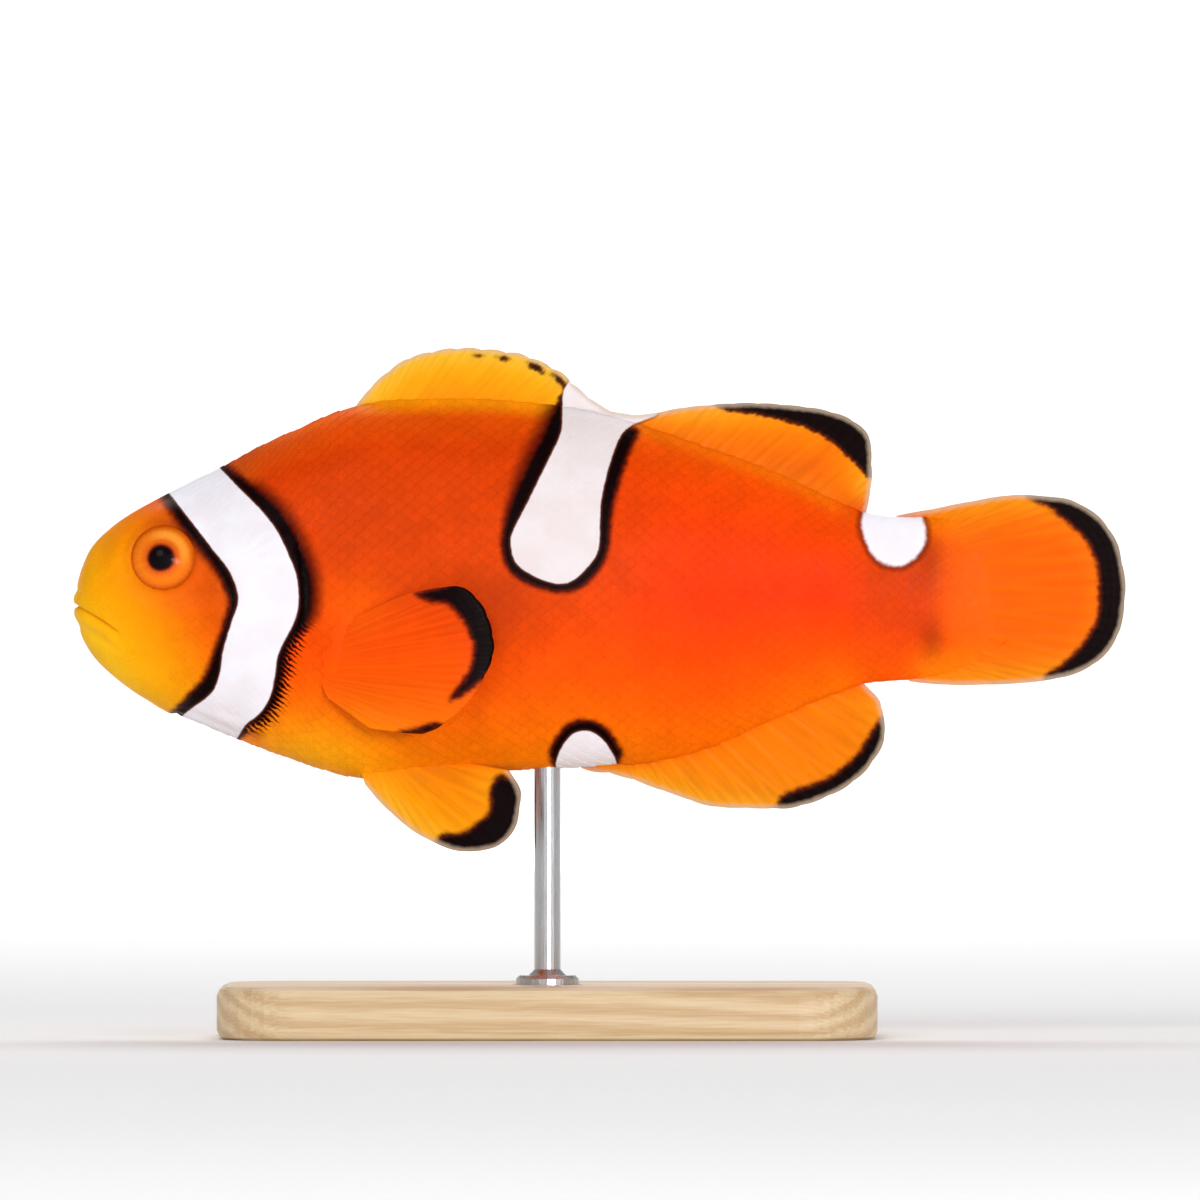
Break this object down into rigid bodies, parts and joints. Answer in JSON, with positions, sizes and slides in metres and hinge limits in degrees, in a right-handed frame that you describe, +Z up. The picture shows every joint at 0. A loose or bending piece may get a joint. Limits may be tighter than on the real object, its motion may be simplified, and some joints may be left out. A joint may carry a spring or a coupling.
{
  "type": "clownfish",
  "caption": "Life-size clownfish with fins spread, swimming level, held over a flat rounded base by a short rod under the belly.",
  "frame": {"origin": "on the floor under the middle of the fish's total length, in its middle plane", "axes": "+Z up, -X towards the snout, -Y towards the fish's left side"},
  "size_m": [0.08, 0.028, 0.0524],
  "materials": {
    "orange_skin": "satin fish skin under fine scales, deep orange with white bars edged black",
    "face_skin": "satin bare skin, yellow-orange",
    "white_skin": "satin fish skin, white",
    "fin_skin": "satin membrane over fine rays, orange with a black margin",
    "eye": "wet gloss, black pupil in an orange iris",
    "stand_steel": "fine brushed",
    "stand_wood": "pale, satin lacquer"
  },
  "bodies": {
    "root": {"head": "face_skin", "lower_jaw": "face_skin", "gill_cover_left": "white_skin", "gill_cover_right": "white_skin", "eye_left": "eye", "eye_right": "eye", "trunk": "orange_skin", "hind_body": "orange_skin", "tail_stalk": "orange_skin", "dorsal_fin_spiny": "fin_skin", "dorsal_fin_soft": "fin_skin", "anal_fin": "fin_skin", "tail_fin": "fin_skin", "pectoral_fin_left": "fin_skin", "pectoral_fin_right": "fin_skin", "pelvic_fin_left": "fin_skin", "pelvic_fin_right": "fin_skin", "stand_rod": "stand_steel", "stand_base": "stand_wood"}
  },
  "joints": []
}
